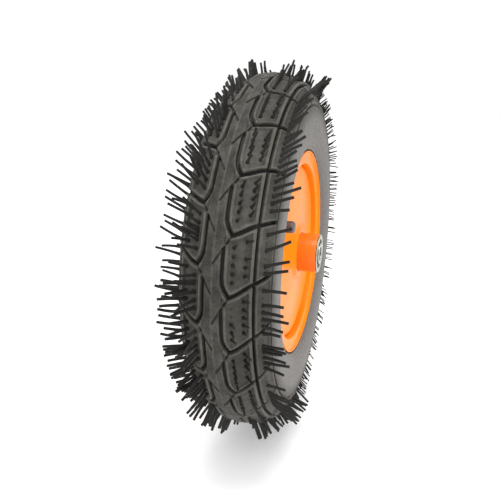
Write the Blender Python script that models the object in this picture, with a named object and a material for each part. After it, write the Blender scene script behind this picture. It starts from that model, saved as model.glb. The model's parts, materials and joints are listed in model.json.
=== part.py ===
"""Pneumatic utility wheel with a steel disc rim and a hairy, freshly moulded block-tread tyre.

Metres, +Z up. The origin is the middle of the wheel, the axle lies along Y, and +Y is the valve side.
Every outline below is in millimetres, as (axial, radial) points about that axis.
"""

from math import cos, hypot, pi, radians, sin

import bmesh
import bpy
from mathutils import Matrix, Vector

MM = 0.001
GAP = 0.35  # clearance kept between pieces that touch on the real wheel

# Tyre
TYRE_RADIUS = 195.0
CROWN_ARC = 47.0  # radius of the tread's cross arc
CROWN_END = 38.0  # distance along that arc, from the seam, where the shoulder begins
HALF_WIDTH = 43.5
WIDEST_RADIUS = 145.0
PITCHES = 24
PITCH_ANGLE = 2 * pi / PITCHES
COARSE = 48  # facets round the rim, tube and beads: two for each tread pitch
GROOVE_DEPTH = 4.0
CROSS_GROOVE_HALF = 2.6  # half width of a groove across the tread, measured round it
BLOCK_EDGE = 9.0  # where a tread block starts, along the cross arc from the seam
BLOCK_MIDDLE = 24.0
RIB_EDGE = 34.0
GROOVE_LINE = 35.6
SHOULDER_START = 37.4
SHOULDER_END = 61.0
CROWN_TURN_END = 77.0  # where the shoulder's curve reaches the widest point
TREAD_TURN = radians(-1.9)  # how far the pattern is turned from the facets of the casing
GROOVE_SLANT = 0.45  # how far a cross groove runs round the tyre for each step across it

# Hairs left by the vents of the mould
HAIR_LENGTH = 21.0
HAIR_BASE = 2.0
# Each row: its name, its distance from the seam, its outward lean in degrees, and its hairs for each pitch.
HAIR_ROWS = (("tread", 24.0, 0.0, 2), ("shoulder", 47.5, 25.0, 2))

# Rim, discs and hub
SHEET = 2.0
BEAD_TOE = 17.0
HUB_TUBE_RADIUS = 22.0
HUB_TUBE_BORE = 18.5
HUB_TUBE_HALF = 54.5

# Bearings
BORE_RADIUS = 8.0
BALL_RADIUS = 2.75
BALL_CIRCLE = 14.4
BALL_PLANE = 49.5
BALLS = 7
CUP_FLANGE_FACE = 56.0
INNER_RING_FACE = 57.0
INNER_RING_BACK = 43.5
HUB_FACETS = 24

# Valve
VALVE_ANGLE = radians(36.0)
VALVE_RADIUS = 81.0
VALVE_HOLE_AXIAL = 0.0
VALVE_BEND = 5.5
STEM_RADIUS = 4.5
STEM_BORE = 2.7
TIP_RADIUS = 3.8
TIP_START = 27.0
TIP_END = 36.0
CAP_RADIUS = 6.2
CAP_START = 27.6
CAP_END = 40.5
VALVE_FACETS = 12

COLOURS = {
    "tyre_rubber": ((0.030, 0.029, 0.028), 0.72, 0.0),
    "tube_rubber": ((0.020, 0.020, 0.021), 0.55, 0.0),
    "bead_steel": ((0.45, 0.36, 0.22), 0.40, 0.9),
    "orange_paint": ((0.90, 0.24, 0.02), 0.28, 0.0),
    "zinc_plate": ((0.62, 0.63, 0.58), 0.38, 0.9),
    "bearing_steel": ((0.55, 0.55, 0.56), 0.22, 1.0),
    "cage_nylon": ((0.55, 0.50, 0.40), 0.55, 0.0),
    "brass": ((0.72, 0.52, 0.22), 0.32, 1.0),
    "cap_plastic": ((0.035, 0.034, 0.036), 0.50, 0.0),
}

SIDES = (("right", 1), ("left", -1))


def material(name):
    """The named Principled material, made the first time it is asked for."""
    found = bpy.data.materials.get(name)
    if found:
        return found
    colour, roughness, metallic = COLOURS[name]
    made = bpy.data.materials.new(name)
    made.use_nodes = True
    shader = made.node_tree.nodes["Principled BSDF"]
    shader.inputs["Base Color"].default_value = (*colour, 1.0)
    shader.inputs["Roughness"].default_value = roughness
    shader.inputs["Metallic"].default_value = metallic
    return made


def finish(bm, name, material_name, smooth=True):
    """Turns the bmesh into a named object with outward faces."""
    bmesh.ops.recalc_face_normals(bm, faces=bm.faces)
    mesh = bpy.data.meshes.new(name)
    bm.to_mesh(mesh)
    bm.free()
    mesh.materials.append(material(material_name))
    if smooth:
        mesh.shade_smooth()
        mesh.set_sharp_from_angle(angle=radians(32))
    made = bpy.data.objects.new(name, mesh)
    bpy.context.scene.collection.objects.link(made)
    return made


def place(obj, parent, at=(0, 0, 0)):
    """Parents obj to an empty and gives it an origin of its own, leaving its shape where it is."""
    obj.data.transform(Matrix.Translation(-Vector(at)))
    obj.location = Vector(at) - parent.location
    obj.parent = parent
    return obj


def empty(name, at=(0, 0, 0)):
    made = bpy.data.objects.new(name, None)
    made.empty_display_size = 0.03
    made.location = at
    bpy.context.scene.collection.objects.link(made)
    return made


def offset(path, distance, closed=False):
    """The path moved sideways by distance, to the left of its direction in the (axial, radial) plane."""
    count = len(path)
    moved = []
    for i, (axial, radial) in enumerate(path):
        before = path[i - 1] if closed or i else None
        after = path[(i + 1) % count] if closed or i + 1 < count else None
        normals = []
        for start, end in ((before, (axial, radial)), ((axial, radial), after)):
            if start is None or end is None:
                continue
            length = hypot(end[0] - start[0], end[1] - start[1])
            normals.append(Vector((start[1] - end[1], end[0] - start[0])) / length)
        normal = (normals[0] + normals[-1]).normalized()
        reach = distance / max(0.5, normal.dot(normals[0]))
        moved.append((axial + normal.x * reach, radial + normal.y * reach))
    return moved


def plate(path, thickness):
    """A closed outline of a sheet whose one face is path, thickened to the left of its direction."""
    return path + offset(path, thickness)[::-1]


def mirrored(outline, sign):
    return [(axial * sign, radial) for axial, radial in outline]


def turned(name, outline, facets, material_name, axis_at=(0, 0, 0)):
    """A closed outline turned about the Y direction through axis_at."""
    bm = bmesh.new()
    x, y, z = axis_at
    verts = [
        bm.verts.new((x + radial * MM, y + axial * MM, z)) for axial, radial in outline
    ]
    edges = [bm.edges.new((verts[i - 1], verts[i])) for i in range(len(verts))]
    bmesh.ops.spin(
        bm,
        geom=verts + edges,
        cent=axis_at,
        axis=(0, 1, 0),
        angle=2 * pi,
        steps=facets,
        use_merge=True,
    )
    bmesh.ops.remove_doubles(bm, verts=bm.verts, dist=1e-7)
    return finish(bm, name, material_name)


def polar(radial, axial, angle):
    """A point from its radius, its place along the axle and its angle from +X towards +Z."""
    return Vector((radial * cos(angle), axial, radial * sin(angle))) * MM


# ---------------------------------------------------------------- tyre


def bezier(points, t):
    """A cubic Bezier curve's point."""
    while len(points) > 1:
        points = [a.lerp(b, t) for a, b in zip(points, points[1:])]
    return points[0]


def crown(distance):
    """(axial, radial) of the tread surface at that distance from the seam, measured across the tread."""
    if distance <= CROWN_END:
        turn = distance / CROWN_ARC
        return CROWN_ARC * sin(turn), TYRE_RADIUS - CROWN_ARC * (1 - cos(turn))
    turn = CROWN_END / CROWN_ARC
    start = Vector(crown(CROWN_END))
    widest = Vector((HALF_WIDTH, WIDEST_RADIUS))
    lead = start + Vector((cos(turn), -sin(turn))) * 9.0
    points = [start, lead, widest + Vector((0, 15.0)), widest]
    chord = CROWN_TURN_END - CROWN_END
    return tuple(bezier(points, min(1.0, (distance - CROWN_END) / chord)))


def outward(distance):
    """The unit normal of the tread surface, as (axial, radial)."""
    before = Vector(crown(distance - 0.5))
    after = Vector(crown(distance + 0.5))
    along = (after - before).normalized()
    return Vector((-along.y, along.x))


# The face of the rim that the tyre sits on, from the lip of the valve-side flange to the bottom of the well.
RIM_HALF = [
    (36.5, 114.8),
    (33.0, 113.8),
    (31.8, 110.5),
    (31.8, 102.0),
    (16.0, 101.2),
    (8.6, 90.5),
]
RIM_PATH = RIM_HALF + mirrored(RIM_HALF, -1)[::-1]

SIDEWALL = [(42.4, 131.0), (39.6, 121.0), (36.6, 116.6)]
CAVITY = [
    (26.6, 114.0),
    (36.4, 128.0),
    (38.6, 145.0),
    (35.0, 163.0),
    (20.6, 179.5),
    (0.0, 185.0),
]
WIRE_SLOT = ((22.0, 104.2), (28.6, 110.0))  # lower and upper corner of the channel for the bead wire


def bead():
    """The tyre's outline from the rim lip, down the flange and back up inside to the cavity, valve side."""
    seat = offset(RIM_HALF, -GAP)[1:4]
    toe = [(BEAD_TOE, seat[-1][1] - 0.6), (BEAD_TOE + 3.0, WIRE_SLOT[0][1])]
    slot = [
        (WIRE_SLOT[1][0], WIRE_SLOT[0][1]),
        WIRE_SLOT[1],
        (WIRE_SLOT[0][0], WIRE_SLOT[1][1]),
    ]
    return seat + toe + slot


def tread_row(distance, sign, groove):
    """One fine ring of the tread, four points in each pitch, with one of them sunk into a cross groove."""
    axial, radial = crown(distance)
    slant = TREAD_TURN + GROOVE_SLANT * max(0.0, distance - BLOCK_EDGE) / TYRE_RADIUS
    half = CROSS_GROOVE_HALF / TYRE_RADIUS
    middle = PITCH_ANGLE / 2
    if sign < 0:
        turns = (0.0, half, middle, PITCH_ANGLE - half)
        cut_column = 0
    else:
        turns = (0.0, middle - half, middle, middle + half)
        cut_column = 2
    normal = outward(distance)
    row = []
    for pitch in range(PITCHES):
        for column, turn in enumerate(turns):
            depth = groove if column == cut_column else 0.0
            row.append(
                polar(
                    radial - normal.y * depth,
                    sign * (axial - normal.x * depth),
                    pitch * PITCH_ANGLE + turn + slant,
                )
            )
    return row


def coarse_row(axial, radial, slant=0.0):
    """One ring of the casing, two points in each pitch."""
    step = 2 * pi / COARSE
    return [polar(radial, axial, i * step + slant) for i in range(COARSE)]


def bridge(bm, first, second):
    """Joins two closed rings of vertices, of which the finer may have two for each one of the other."""
    if len(first) < len(second):
        first, second = second, first
    per = len(first) // len(second)
    for i in range(len(second)):
        near, far = second[i], second[(i + 1) % len(second)]
        fine = [first[(per * i + k) % len(first)] for k in range(per + 1)]
        if per == 1:
            bm.faces.new((fine[0], fine[1], far, near))
            continue
        split = per // 2
        for k in range(per):
            bm.faces.new((fine[k], fine[k + 1], near if k <= split else far))
        bm.faces.new((near, fine[split + 1], far))


def make_tyre():
    """The cover: block tread with grooves, sidewalls, beads with wire slots, and the cavity for the tube."""
    half_tread = (
        (BLOCK_EDGE, 0.0),
        (BLOCK_MIDDLE, GROOVE_DEPTH * 0.8),
        (RIB_EDGE, GROOVE_DEPTH),
        (GROOVE_LINE, None),
        (SHOULDER_START, GROOVE_DEPTH),
        (SHOULDER_END, GROOVE_DEPTH * 0.8),
    )
    rows = {1: [], -1: []}
    for sign in rows:
        for distance, groove in half_tread:
            if groove is None:
                sunk = tread_row(distance, sign, 0.0)
                normal = outward(distance)
                rows[sign].append([sink(p, normal, sign) for p in sunk])
            else:
                rows[sign].append(tread_row(distance, sign, groove))
        shoulder = [crown(distance) for distance in (SHOULDER_END + 3.5, CROWN_TURN_END)]
        side = shoulder + SIDEWALL + bead() + CAVITY[:-1]
        full_slant = TREAD_TURN + GROOVE_SLANT * (SHOULDER_END - BLOCK_EDGE) / TYRE_RADIUS
        for i, (axial, radial) in enumerate(side):
            slant = full_slant * max(0.0, 1 - (i + 1) / (len(shoulder) + len(SIDEWALL)))
            rows[sign].append(coarse_row(sign * axial, radial, slant))
    rings = [tread_row(0.0, 1, 0.0)] + rows[1]
    rings += [coarse_row(*CAVITY[-1])] + rows[-1][::-1]
    bm = bmesh.new()
    rings = [[bm.verts.new(p) for p in ring] for ring in rings]
    for first, second in zip(rings, rings[1:] + rings[:1]):
        bridge(bm, first, second)
    return finish(bm, "tyre", "tyre_rubber", smooth=False)


def sink(point, normal, sign):
    """The point moved into the tread by the depth of the grooves that run round it."""
    out = Vector((point.x, 0, point.z)).normalized()
    step = out * normal.y + Vector((0, sign * normal.x, 0))
    return point - step * GROOVE_DEPTH * MM


def make_hairs(name, distance, sign, lean, per_pitch):
    """A thin band on the tread from which a row of mould hairs stands, one spike on every other facet."""
    axial, radial = crown(distance)
    normal = outward(distance)
    along = Vector((normal.y, -normal.x))
    base = Vector((axial, radial)) + normal * GAP
    section = (
        base + normal * 0.2,
        base + along * HAIR_BASE / 2 + normal * 0.9,
        base - along * HAIR_BASE / 2 + normal * 0.9,
    )
    count = PITCHES * per_pitch
    step = 2 * pi / count
    half = HAIR_BASE / 2 / radial
    turns = [i * step + t for i in range(count) for t in (step / 4 - half, step / 4 + half)]
    bm = bmesh.new()
    rings = []
    for turn in turns:
        rings.append([bm.verts.new(polar(p.y, sign * p.x, turn)) for p in section])
    direction = (normal + along * sin(radians(lean))).normalized()
    tip = base + direction * HAIR_LENGTH
    for i, ring in enumerate(rings):
        following = rings[(i + 1) % len(rings)]
        for k in range(3):
            corners = (ring[k], ring[(k + 1) % 3], following[(k + 1) % 3], following[k])
            if k == 1 and i % 2 == 0:
                middle = (turns[i] + turns[i + 1]) / 2
                point = bm.verts.new(polar(tip.y, sign * tip.x, middle))
                for a, b in zip(corners, corners[1:] + corners[:1]):
                    bm.faces.new((a, b, point))
            else:
                bm.faces.new(corners)
    return finish(bm, name, "tyre_rubber", smooth=False)


def make_bead_wire(side, sign):
    """The hoop of steel wire in one bead, as a bundle of square section in its slot."""
    (low, bottom), (high, top) = WIRE_SLOT
    outline = [
        (low + 0.4, bottom + GAP),
        (high - GAP, bottom + GAP),
        (high - GAP, top - GAP),
        (low + 0.4, top - GAP),
    ]
    return turned(f"bead_wire_{side}", mirrored(outline, sign), COARSE, "bead_steel")


def make_inner_tube():
    """The air tube: a hollow ring with one opening in its wall, where the valve's base is bonded in."""
    wall = 2.0
    facets = COARSE // 2
    outer = [(0.0, CAVITY[-1][1] - 0.8)]
    outer += offset(CAVITY, 0.8)[1:-1][::-1]
    outer += [(25.0, 115.4), (BEAD_TOE - 1.0, 103.0), (8.8, 93.0)]
    loop = outer + mirrored(outer[1:], -1)[::-1]
    inner = offset(loop, -wall, closed=True)
    bm = bmesh.new()
    step = 2 * pi / facets
    shells = []
    for path in (loop, inner):
        rings = []
        for i in range(facets):
            turn = i * step + VALVE_ANGLE - step / 2
            rings.append([bm.verts.new(polar(r, a, turn)) for a, r in path])
        shells.append(rings)
    mouth_edge = len(outer) - 1  # the edge across the bottom of the well
    for rings in shells:
        for i in range(facets):
            here, there = rings[i], rings[(i + 1) % facets]
            for k in range(len(loop)):
                if i == 0 and k == mouth_edge:
                    continue
                n = (k + 1) % len(loop)
                bm.faces.new((here[k], here[n], there[n], there[k]))
    corners = [(0, mouth_edge), (0, mouth_edge + 1), (1, mouth_edge + 1), (1, mouth_edge)]
    for (i, k), (j, n) in zip(corners, corners[1:] + corners[:1]):
        bm.faces.new((shells[0][i][k], shells[0][j][n], shells[1][j][n], shells[1][i][k]))
    return finish(bm, "inner_tube", "tube_rubber")


# ---------------------------------------------------------------- rim, discs, hub


def cut(obj, cutter):
    """Subtracts cutter from obj and hides the cutter."""
    cutter.hide_render = True
    cutter.display_type = "WIRE"
    modifier = obj.modifiers.new("hole", "BOOLEAN")
    modifier.object = cutter
    modifier.operation = "DIFFERENCE"
    modifier.solver = "EXACT"


def hole_cutter(name, radius, start, end):
    """A cylinder from start to end, in metres, longer than the sheet that it cuts."""
    along = end - start
    bm = bmesh.new()
    bmesh.ops.create_cone(
        bm,
        cap_ends=True,
        segments=VALVE_FACETS,
        radius1=radius * MM,
        radius2=radius * MM,
        depth=along.length,
    )
    turn = along.to_track_quat("Z", "X").to_matrix().to_4x4()
    bm.transform(Matrix.Translation((start + end) / 2) @ turn)
    return finish(bm, name, "orange_paint")


def make_rim_barrel():
    """The drop-centre barrel with both flanges, and its valve hole in the bottom of the well."""
    barrel = turned("rim_barrel", plate(RIM_PATH, SHEET), COARSE, "orange_paint")
    start = polar(80.0, VALVE_HOLE_AXIAL, VALVE_ANGLE)
    end = polar(100.0, VALVE_HOLE_AXIAL, VALVE_ANGLE)
    cut(barrel, hole_cutter("valve_hole_cutter", STEM_RADIUS + 1.2, start, end))
    return barrel


DISC_PATH = [
    (19.5, 98.4),
    (27.0, 98.4),
    (28.6, 94.0),
    (31.2, 32.5),
    (34.2, 27.0),
    (34.2, HUB_TUBE_RADIUS + GAP),
]


def make_disc(side, sign):
    """The pressed side plate, from its skirt inside the barrel up to the raised neck round the hub tube."""
    outline = mirrored(plate(DISC_PATH, -SHEET), sign)
    return turned(f"disc_{side}", outline, COARSE, "orange_paint")


def make_hub_tube():
    outline = [
        (-HUB_TUBE_HALF, HUB_TUBE_BORE),
        (HUB_TUBE_HALF, HUB_TUBE_BORE),
        (HUB_TUBE_HALF, HUB_TUBE_RADIUS),
        (-HUB_TUBE_HALF, HUB_TUBE_RADIUS),
    ]
    return turned("hub_tube", outline, HUB_FACETS, "orange_paint")


# ---------------------------------------------------------------- bearings


def make_cup(side, sign):
    """The outer race: a pressed cup with a ball groove, and a flange that covers the end of the hub tube."""
    outer = HUB_TUBE_BORE - GAP
    face = CUP_FLANGE_FACE
    inner = outer - 1.55
    groove = BALL_CIRCLE + BALL_RADIUS + GAP
    outline = [
        (INNER_RING_BACK, outer),
        (HUB_TUBE_HALF + GAP, outer),
        (HUB_TUBE_HALF + GAP, HUB_TUBE_RADIUS - 0.4),
        (face, HUB_TUBE_RADIUS - 0.4),
        (face, inner),
        (BALL_PLANE + 3.0, inner),
        (BALL_PLANE + 1.6, groove),
        (BALL_PLANE - 1.6, groove),
        (BALL_PLANE - 3.0, inner),
        (INNER_RING_BACK, inner),
    ]
    return turned(f"bearing_cup_{side}", mirrored(outline, sign), HUB_FACETS, "zinc_plate")


def make_inner_ring(side, sign):
    """The inner race, which the axle nuts clamp through its outer end face."""
    outer = 12.0
    groove = BALL_CIRCLE - BALL_RADIUS - GAP
    outline = [
        (INNER_RING_BACK, BORE_RADIUS),
        (INNER_RING_FACE, BORE_RADIUS),
        (INNER_RING_FACE, outer),
        (BALL_PLANE + 2.6, outer),
        (BALL_PLANE + 1.4, groove),
        (BALL_PLANE - 1.4, groove),
        (BALL_PLANE - 2.6, outer),
        (INNER_RING_BACK, outer),
    ]
    name = f"bearing_inner_ring_{side}"
    return turned(name, mirrored(outline, sign), HUB_FACETS, "bearing_steel")


def make_shield(side, sign):
    """The dust shield, pressed into the cup just outside the balls."""
    outline = [(53.0, 12.5), (53.8, 12.5), (53.8, 16.2), (53.0, 16.2)]
    return turned(f"dust_shield_{side}", mirrored(outline, sign), HUB_FACETS, "zinc_plate")


def make_cage(side, sign):
    """The crown cage: a ring behind the balls with one finger between each two of them."""
    per = 3
    facets = BALLS * per
    step = 2 * pi / facets
    low, high = BALL_CIRCLE - 1.1, BALL_CIRCLE + 1.1
    back, front, finger = 44.4, 46.2, 51.2
    bm = bmesh.new()
    rings = []
    for i in range(facets):
        turn = i * step
        corners = ((back, low), (back, high), (front, high), (front, low))
        rings.append([bm.verts.new(polar(r, sign * a, turn)) for a, r in corners])
    fingers = []
    for i, ring in enumerate(rings):
        following = rings[(i + 1) % facets]
        for k in range(4):
            face = bm.faces.new(
                (ring[k], ring[(k + 1) % 4], following[(k + 1) % 4], following[k])
            )
            if k == 2 and i % per == 1:
                fingers.append(face)
    for face in fingers:
        grown = bmesh.ops.extrude_face_region(bm, geom=[face])["geom"]
        verts = [v for v in grown if isinstance(v, bmesh.types.BMVert)]
        bmesh.ops.translate(bm, verts=verts, vec=(0, sign * (finger - front) * MM, 0))
        bmesh.ops.delete(bm, geom=[face], context="FACES")
    return finish(bm, f"ball_cage_{side}", "cage_nylon")


def make_ball(side, sign, number):
    turn = number * 2 * pi / BALLS
    at = polar(BALL_CIRCLE, sign * BALL_PLANE, turn)
    bm = bmesh.new()
    bmesh.ops.create_icosphere(bm, subdivisions=2, radius=BALL_RADIUS * MM)
    bm.transform(Matrix.Translation(at))
    return finish(bm, f"ball_{side}_{number + 1}", "bearing_steel"), at


def make_spacer():
    """The tube that holds the two inner races apart when the axle nuts are tightened."""
    half = INNER_RING_BACK - GAP
    low, high = BORE_RADIUS + 0.2, BORE_RADIUS + 2.0
    outline = [(-half, low), (half, low), (half, high), (-half, high)]
    return turned("spacer_tube", outline, HUB_FACETS, "bearing_steel")


# ---------------------------------------------------------------- valve


def valve_path():
    """The stem's centre line as (axial, radial): inward from the tube, round the bend, then out to its tip."""
    corner = VALVE_RADIUS + VALVE_BEND
    path = [(VALVE_HOLE_AXIAL, 94.2), (VALVE_HOLE_AXIAL, 91.5), (VALVE_HOLE_AXIAL, corner)]
    for k in range(1, 5):
        turn = k * pi / 8
        axial = VALVE_HOLE_AXIAL + VALVE_BEND * (1 - cos(turn))
        path.append((axial, corner - VALVE_BEND * sin(turn)))
    path += [(TIP_START - 0.6, VALVE_RADIUS), (TIP_START, VALVE_RADIUS), (TIP_END, VALVE_RADIUS)]
    return path


def make_valve_stem():
    """The rubber-covered bent stem with its bare threaded tip; its bore holds the core."""
    path = valve_path()
    outer = [STEM_RADIUS + 1.8] + [STEM_RADIUS] * (len(path) - 3) + [TIP_RADIUS] * 2
    side = Vector((-sin(VALVE_ANGLE), 0, cos(VALVE_ANGLE)))
    bm = bmesh.new()
    sections = []
    for i, (axial, radial) in enumerate(path):
        before = Vector(path[max(0, i - 1)])
        after = Vector(path[min(len(path) - 1, i + 1)])
        if i in (0, 1):
            before, after = Vector(path[0]), Vector(path[1])
        along = (after - before).normalized()
        across = Vector((-along.y, along.x))
        lift = Vector((0, across.x, 0)) + polar(across.y, 0, VALVE_ANGLE) / MM
        centre = polar(radial, axial, VALVE_ANGLE)
        loops = []
        for radius in (outer[i], STEM_BORE):
            turns = [k * 2 * pi / VALVE_FACETS for k in range(VALVE_FACETS)]
            points = [centre + (lift * cos(t) + side * sin(t)) * radius * MM for t in turns]
            loops.append([bm.verts.new(p) for p in points])
        sections.append(loops)
    for first, second in zip(sections, sections[1:]):
        bridge(bm, first[0], second[0])
        bridge(bm, first[1], second[1])
    for end in (sections[0], sections[-1]):
        bridge(bm, end[0], end[1])
    return finish(bm, "valve_stem", "tube_rubber")


def valve_axis():
    return polar(VALVE_RADIUS, 0, VALVE_ANGLE)


def make_valve_core():
    """The brass insert in the stem's tip, with the bore that the pin slides in."""
    outline = [
        (22.5, 1.75),
        (22.5, 2.35),
        (35.4, 2.35),
        (35.4, 1.1),
        (29.5, 1.1),
        (29.5, 1.75),
    ]
    return turned("valve_core", outline, 12, "brass", valve_axis())


def make_valve_pin():
    """The pin with its seal plug; pressing it lets air past."""
    pin = 0.55
    plug = 1.9
    outline = [(19.6, plug), (22.0, plug), (22.0, pin), (36.3, pin)]
    bm = bmesh.new()
    centre = valve_axis()
    facets = 12
    rings = []
    for axial, radial in outline:
        turns = [k * 2 * pi / facets for k in range(facets)]
        at = centre + Vector((0, axial * MM, 0))
        points = [at + Vector((cos(t), 0, sin(t))) * radial * MM for t in turns]
        rings.append([bm.verts.new(p) for p in points])
    for first, second in zip(rings, rings[1:]):
        bridge(bm, first, second)
    bm.faces.new(rings[0])
    bm.faces.new(rings[-1][::-1])
    return finish(bm, "valve_pin", "brass")


def make_valve_spring():
    """The small coil round the pin that pulls its plug against the end of the core."""
    turns, per_turn, wire, radius = 4, 6, 0.2, 1.3
    start, end = 23.2, 29.0
    curve = bpy.data.curves.new("valve_spring", "CURVE")
    curve.dimensions = "3D"
    curve.bevel_depth = wire * MM
    curve.bevel_resolution = 0
    curve.use_fill_caps = True
    spline = curve.splines.new("POLY")
    count = turns * per_turn
    spline.points.add(count)
    centre = valve_axis()
    for i in range(count + 1):
        turn = i * 2 * pi / per_turn
        axial = start + (end - start) * i / count
        point = centre + Vector((radius * cos(turn), axial, radius * sin(turn))) * MM
        spline.points[i].co = (*point, 1.0)
    curve.materials.append(material("bearing_steel"))
    made = bpy.data.objects.new("valve_spring", curve)
    bpy.context.scene.collection.objects.link(made)
    return made


def make_valve_cap():
    """The domed plastic cap, open at its inner end and hollow over the stem's tip."""
    inner = TIP_RADIUS + GAP
    roof_axial = TIP_END + 1.2
    dome = [(CAP_END - 4.0 * (1 - sin(t)), CAP_RADIUS - 3.2 * (1 - cos(t)))
            for t in (0.0, radians(35), radians(65))]
    facets = VALVE_FACETS
    skin = [(CAP_START, inner), (CAP_START, CAP_RADIUS - 0.5), (CAP_START + 0.6, CAP_RADIUS)]
    skin += dome
    bm = bmesh.new()
    centre = valve_axis()
    rings = []
    for axial, radial in [(roof_axial, inner)] + skin:
        at = centre + Vector((0, axial * MM, 0))
        turns = [k * 2 * pi / facets for k in range(facets)]
        points = [at + Vector((cos(t), 0, sin(t))) * radial * MM for t in turns]
        rings.append([bm.verts.new(p) for p in points])
    for first, second in zip(rings, rings[1:]):
        bridge(bm, first, second)
    roof_point = bm.verts.new(centre + Vector((0, roof_axial * MM, 0)))
    crown_point = bm.verts.new(centre + Vector((0, CAP_END * MM, 0)))
    for ring, point in ((rings[0], roof_point), (rings[-1], crown_point)):
        for k in range(facets):
            bm.faces.new((ring[k], ring[(k + 1) % facets], point))
    return finish(bm, "valve_cap", "cap_plastic")


# ---------------------------------------------------------------- assembly


def main():
    for obj in list(bpy.data.objects):
        bpy.data.objects.remove(obj)
    axle = empty("axle_fixed")
    wheel = empty("wheel_spin")
    wheel.parent = axle
    place(make_spacer(), axle)
    place(make_tyre(), wheel)
    place(make_inner_tube(), wheel)
    place(make_rim_barrel(), wheel)
    place(make_hub_tube(), wheel)
    for side, sign in SIDES:
        for where, line, lean, per_pitch in HAIR_ROWS:
            place(make_hairs(f"{where}_hairs_{side}", line, sign, lean, per_pitch), wheel)
        place(make_bead_wire(side, sign), wheel)
        disc = place(make_disc(side, sign), wheel)
        if sign > 0:
            start = polar(VALVE_RADIUS, 22.0, VALVE_ANGLE)
            end = polar(VALVE_RADIUS, 42.0, VALVE_ANGLE)
            cut(disc, hole_cutter("disc_hole_cutter", CAP_RADIUS + 2.6, start, end))
        place(make_cup(side, sign), wheel)
        place(make_shield(side, sign), wheel)
        place(make_inner_ring(side, sign), axle)
        balls = empty(f"ball_set_{side}", (0, sign * BALL_PLANE * MM, 0))
        balls.parent = axle
        place(make_cage(side, sign), balls, balls.location)
        for number in range(BALLS):
            ball, at = make_ball(side, sign, number)
            place(ball, balls, at)
    place(make_valve_stem(), wheel)
    place(make_valve_core(), wheel)
    place(make_valve_pin(), wheel, valve_axis())
    place(make_valve_cap(), wheel, valve_axis())
    spring = make_valve_spring()
    spring.parent = wheel


main()
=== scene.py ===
"""Looks for a pneumatic utility wheel.

A freshly moulded block-tread tyre with its mould hairs, on an orange steel rim with a hub tube.

Metres, +Z up. The axle lies along Y through the origin, and +Y is the valve side. Outlines are in
millimetres, as (axial, radial) points about the axle.
"""

import json
from math import cos, pi, radians, sin

import bmesh
import bpy
import numpy as np
from mathutils import Matrix, Vector

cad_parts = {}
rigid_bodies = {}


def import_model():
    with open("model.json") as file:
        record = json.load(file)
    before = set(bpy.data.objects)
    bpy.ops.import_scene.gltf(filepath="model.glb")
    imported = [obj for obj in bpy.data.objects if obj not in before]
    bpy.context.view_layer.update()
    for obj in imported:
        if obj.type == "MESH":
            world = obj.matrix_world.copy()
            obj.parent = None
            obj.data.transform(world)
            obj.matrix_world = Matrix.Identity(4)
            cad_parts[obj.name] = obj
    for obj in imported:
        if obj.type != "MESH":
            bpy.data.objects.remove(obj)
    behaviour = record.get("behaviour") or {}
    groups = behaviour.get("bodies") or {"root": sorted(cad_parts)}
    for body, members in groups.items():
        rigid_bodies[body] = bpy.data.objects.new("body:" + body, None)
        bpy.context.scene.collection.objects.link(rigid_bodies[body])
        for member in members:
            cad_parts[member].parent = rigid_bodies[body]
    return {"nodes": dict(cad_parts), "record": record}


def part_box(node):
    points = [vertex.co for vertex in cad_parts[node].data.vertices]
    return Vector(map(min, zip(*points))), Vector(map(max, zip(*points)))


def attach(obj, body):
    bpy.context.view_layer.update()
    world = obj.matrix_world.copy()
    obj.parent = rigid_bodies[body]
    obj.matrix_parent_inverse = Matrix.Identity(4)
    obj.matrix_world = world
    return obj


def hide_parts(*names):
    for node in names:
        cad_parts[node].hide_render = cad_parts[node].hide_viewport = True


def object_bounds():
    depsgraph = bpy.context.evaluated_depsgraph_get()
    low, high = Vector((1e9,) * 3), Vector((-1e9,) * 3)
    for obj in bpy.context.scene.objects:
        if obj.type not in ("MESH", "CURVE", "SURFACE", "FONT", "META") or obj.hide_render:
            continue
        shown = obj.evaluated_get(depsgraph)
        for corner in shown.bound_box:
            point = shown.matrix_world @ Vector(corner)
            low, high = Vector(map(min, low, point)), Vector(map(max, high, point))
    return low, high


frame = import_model()
CAD_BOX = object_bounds()

MM = 0.001
SIDES = (("right", 1), ("left", -1))

# Tread. A place on it is (distance across from the seam, distance round the tyre), both in millimetres.
TYRE_RADIUS = 195.0
CROWN_ARC = 47.0
CROWN_END = 38.0
HALF_WIDTH = 43.5
WIDEST_RADIUS = 145.0
PITCHES = 24
PITCH = 2 * pi * TYRE_RADIUS / PITCHES
VERTEX = 14.4  # the corner of a tread block that points at the seam
VERTEX_TURN = radians(6.3)  # where the right half's first corner stands, from +X towards +Z
OUTLINE = 8.2  # the straight inner edge of a block
GROOVE_LINE = 35.6
EDGE_LINE = 61.0
EDGE_LEAD = 19.8  # how far round a cross groove has run when it reaches the edge line
TREAD_END = 77.0
GROOVE_DEPTH = 4.0
SIPE_DEPTH = 1.8
EDGE_DEPTH = 1.6
PANEL_DEPTH = 1.1
VENT_DEPTH = 0.9
HAIR_COLUMNS = (16.6, 27.0, 47.5)
HAIRS_PER_PITCH = 5
HAIR_SPACING = 7.2
HAIR_FIRST = 11.5
HAIR_FRONT = radians(10.0)  # the middle of the stretch that faces forward
HAIR_SINK = 1.2  # how far a hair's root lies under the tread
HAIR_CLUMP = 0.06  # how much the lean of one block's hairs differs from the next block's
HAIR_SCATTER = 0.08  # how much the lean of single hairs differs
HAIR_CURL = 0.07  # how much the hairs' tips differ in bend, as a share of their length
FIRST_SEED = 11
SIDEWALL_RIPPLE = 0.12
SIDEWALL_FADE = 15.0  # the stretch over which the tread's look gives way to the sidewall's
HATCH_ROUND = 520.0  # how fast the hatching's wave runs, per radian round the tyre
HATCH_SLANT = 3.2  # and per millimetre across it

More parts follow.
